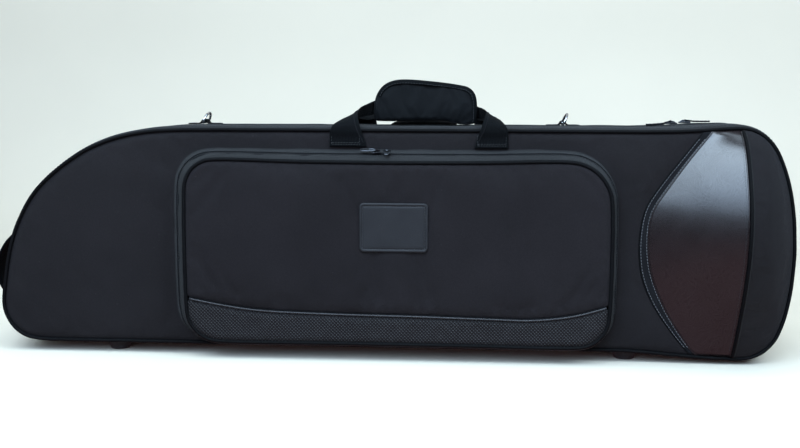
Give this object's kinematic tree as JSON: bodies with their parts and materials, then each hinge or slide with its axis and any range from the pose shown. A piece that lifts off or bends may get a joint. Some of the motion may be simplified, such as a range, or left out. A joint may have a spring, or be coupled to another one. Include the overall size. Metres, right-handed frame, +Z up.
{
  "type": "trombone case",
  "caption": "Soft trombone case with a rigid shell, a bell bulge, a zipped outer pocket, padded carry straps and a fitted inside.",
  "frame": {"origin": "centre of the bottom of the bounding box, on the floor under the feet", "axes": "+X along the length towards the bell end, -Y out of the front with the pocket, +Z up"},
  "size_m": [0.9598, 0.2492, 0.3256],
  "materials": {
    "nylon": "woven, matt",
    "piping": "covered cord, satin",
    "vinyl": "smooth synthetic leather, semi-gloss",
    "webbing": "woven webbing, matt",
    "plush": "short plush pile",
    "foam": "plush-covered foam",
    "shell": "moulded, matt",
    "steel": "polished plating",
    "rubber": "matt",
    "mesh": "ribbed mesh, matt",
    "tape": "woven tape with coil, matt",
    "pad": "padded woven nylon, matt"
  },
  "bodies": {
    "rear_half": {"rear_shell": "shell", "rear_lining": "plush", "rear_panel": "nylon", "rear_piping": "piping", "rear_gusset": "nylon", "main_zip_tape_rear": "tape", "foot_rear_bell": "rubber", "foot_rear_slide": "rubber", "d_ring_tab_left": "webbing", "d_ring_tab_right": "webbing", "top_pad": "pad", "slide_bed": "foam", "bell_cradle": "foam", "saddle_upper": "foam", "saddle_lower": "foam", "saddle_neck": "foam", "mouthpiece_block": "foam", "accessory_divider": "foam"},
    "front_half": {"front_shell": "shell", "front_lining": "plush", "front_panel": "nylon", "flare_binding": "tape", "flare_panel": "vinyl", "end_panel": "nylon", "rim_piping": "piping", "front_piping": "piping", "front_gusset": "nylon", "main_zip_tape_front": "tape", "foot_front_bell": "rubber", "foot_front_slide": "rubber", "pocket_gusset_back": "nylon", "pocket_zip_tape_back": "tape", "end_handle_tab_upper": "webbing", "end_handle_tab_lower": "webbing"},
    "pocket_flap": {"pocket_gusset_front": "nylon", "pocket_zip_tape_front": "tape", "pocket_piping": "piping", "pocket_panel": "nylon", "pocket_trim": "mesh", "pocket_patch": "vinyl"},
    "front_handle": {"front_strap": "webbing", "grip_pad": "pad"},
    "wrap_flap": {"grip_flap": "pad"},
    "rear_handle": {"rear_strap": "webbing"},
    "ring_left": {"d_ring_left": "steel"},
    "ring_right": {"d_ring_right": "steel"},
    "side_handle": {"end_handle": "webbing"},
    "main_zip_left": {"main_slider_left": "steel"},
    "main_zip_right": {"main_slider_right": "steel"},
    "main_tag_left": {"main_pull_left": "tape"},
    "main_tag_right": {"main_pull_right": "tape"},
    "pocket_zip_left": {"pocket_slider_left": "steel"},
    "pocket_zip_right": {"pocket_slider_right": "steel"},
    "pocket_tag_left": {"pocket_pull_left": "steel"},
    "pocket_tag_right": {"pocket_pull_right": "steel"},
    "tie_upper": {"saddle_strap_upper": "webbing"},
    "tie_lower": {"saddle_strap_lower": "webbing"},
    "tie_neck": {"saddle_strap_neck": "webbing"},
    "tie_slide_left": {"slide_strap_left": "webbing"},
    "tie_slide_right": {"slide_strap_right": "webbing"}
  },
  "joints": [
    {"name": "lid_hinge", "type": "hinge", "parent": "rear_half", "child": "front_half", "pos_m": [0.0126, 0.02207, 0.0093], "axis": [1, 0, 0], "range_deg": [0, 150]},
    {"name": "pocket_flap_hinge", "type": "hinge", "parent": "front_half", "child": "pocket_flap", "pos_m": [0.0176, -0.07823, 0.0189], "axis": [1, 0, 0], "range_deg": [0, 85]},
    {"name": "front_handle_swing", "type": "hinge", "parent": "front_half", "child": "front_handle", "pos_m": [0.0476, -0.06883, 0.2475], "axis": [1, 0, 0], "range_deg": [0, 75]},
    {"name": "grip_flap_hinge", "type": "hinge", "parent": "front_handle", "child": "wrap_flap", "pos_m": [0.0526, -0.00773, 0.2749], "axis": [1, 0, 0], "range_deg": [0, 85]},
    {"name": "rear_handle_swing", "type": "hinge", "parent": "rear_half", "child": "rear_handle", "pos_m": [0.0476, 0.12007, 0.2475], "axis": [1, 0, 0], "range_deg": [-105, 0]},
    {"name": "end_handle_swing", "type": "hinge", "parent": "front_half", "child": "side_handle", "pos_m": [-0.4584, -0.02093, 0.09725], "axis": [0.1125, 0, 0.9937], "range_deg": [-40, 40]},
    {"name": "d_ring_left_swing", "type": "hinge", "parent": "rear_half", "child": "ring_left", "pos_m": [-0.2309, 0.04807, 0.27365], "axis": [0, 1, 0], "range_deg": [-102, 54]},
    {"name": "d_ring_right_swing", "type": "hinge", "parent": "rear_half", "child": "ring_right", "pos_m": [0.2226, 0.04807, 0.27365], "axis": [0, 1, 0], "range_deg": [-102, 54]},
    {"name": "main_zip_left_slide", "type": "slide", "parent": "rear_half", "child": "main_zip_left", "axis": [1, 0, 0], "range_m": [-0.55, 0]},
    {"name": "main_zip_right_slide", "type": "slide", "parent": "rear_half", "child": "main_zip_right", "axis": [1, 0, 0], "range_m": [0, 0.012]},
    {"name": "main_pull_left_swing", "type": "hinge", "parent": "main_zip_left", "child": "main_tag_left", "pos_m": [0.3506, 0.02207, 0.2778], "axis": [0, 1, 0], "range_deg": [0, 120]},
    {"name": "main_pull_right_swing", "type": "hinge", "parent": "main_zip_right", "child": "main_tag_right", "pos_m": [0.3666, 0.02207, 0.2792], "axis": [0, 1, 0], "range_deg": [-120, 0]},
    {"name": "pocket_zip_left_slide", "type": "slide", "parent": "pocket_flap", "child": "pocket_zip_left", "axis": [1, 0, 0], "range_m": [-0.1, 0]},
    {"name": "pocket_zip_right_slide", "type": "slide", "parent": "pocket_flap", "child": "pocket_zip_right", "axis": [1, 0, 0], "range_m": [0, 0.1]},
    {"name": "pocket_pull_left_swing", "type": "hinge", "parent": "pocket_zip_left", "child": "pocket_tag_left", "pos_m": [0.0001, -0.08059, 0.24493], "axis": [0, 0.8309, 0.5564], "range_deg": [0, 110]},
    {"name": "pocket_pull_right_swing", "type": "hinge", "parent": "pocket_zip_right", "child": "pocket_tag_right", "pos_m": [0.0124, -0.07993, 0.24538], "axis": [1, 0, 0], "range_deg": [-110, 0]},
    {"name": "saddle_strap_upper_hinge", "type": "hinge", "parent": "rear_half", "child": "tie_upper", "pos_m": [-0.2624, -0.00333, 0.24], "axis": [1, 0, 0], "range_deg": [-90, 0]},
    {"name": "saddle_strap_lower_hinge", "type": "hinge", "parent": "rear_half", "child": "tie_lower", "pos_m": [-0.2624, -0.00333, 0.024], "axis": [1, 0, 0], "range_deg": [0, 90]},
    {"name": "saddle_strap_neck_hinge", "type": "hinge", "parent": "rear_half", "child": "tie_neck", "pos_m": [-0.0094, -0.00333, 0.24], "axis": [1, 0, 0], "range_deg": [-90, 0]},
    {"name": "slide_strap_left_hinge", "type": "hinge", "parent": "rear_half", "child": "tie_slide_left", "pos_m": [-0.1369, 0.07267, 0.196], "axis": [1, 0, 0], "range_deg": [-70, 0]},
    {"name": "slide_strap_right_hinge", "type": "hinge", "parent": "rear_half", "child": "tie_slide_right", "pos_m": [0.1621, 0.07267, 0.196], "axis": [1, 0, 0], "range_deg": [-70, 0]}
  ]
}
